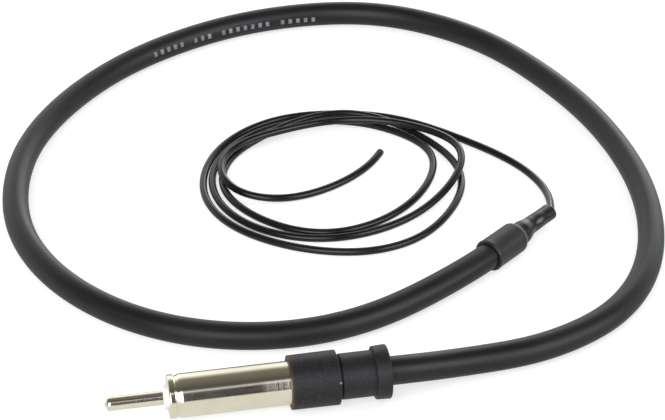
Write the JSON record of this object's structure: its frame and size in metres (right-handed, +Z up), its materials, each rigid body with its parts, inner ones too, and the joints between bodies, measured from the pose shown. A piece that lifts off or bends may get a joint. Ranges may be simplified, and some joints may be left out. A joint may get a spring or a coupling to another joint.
{
  "type": "flexible wire radio antenna",
  "caption": "Hideaway marine radio antenna: straight antenna plug, looped coaxial lead, sleeved splice and a thin flexible wire whip laid in loose turns.",
  "frame": {"origin": "centre of the plug barrel's front face, on the plug's axis", "axes": "+X runs back along the plug towards the cable, so a mating socket leaves along -X; +Z is up from the surface that the antenna lies on"},
  "size_m": [0.1524, 0.1675, 0.0116],
  "materials": {
    "nickel": "bright nickel plating on turned brass",
    "solder": "bright solder",
    "insulator_plastic": "moulded, satin",
    "cap_plastic": "moulded, fine matt texture",
    "boot_rubber": "moulded, matt",
    "clamp_metal": "plain",
    "copper": "bare copper",
    "core_plastic": "plain",
    "jacket": "satin extruded jacket",
    "sleeve_shrink": "satin heat-shrink",
    "splice_shrink": "satin heat-shrink",
    "wire_insulation": "glossy insulation"
  },
  "bodies": {
    "root": {"plug_pin": "nickel", "pin_solder": "solder", "pin_insulator": "insulator_plastic", "plug_barrel": "nickel", "plug_cap": "cap_plastic", "cable_boot": "boot_rubber", "braid_clamp": "clamp_metal", "plug_braid": "copper", "plug_core": "core_plastic", "coax_conductor": "copper", "coax_cable": "jacket", "joint_sleeve": "sleeve_shrink", "splice_sleeve": "splice_shrink", "joint_braid": "copper", "joint_core": "core_plastic", "joint_conductor": "copper", "splice_solder": "solder", "wire_strands": "copper", "whip_wire": "wire_insulation"}
  },
  "joints": []
}
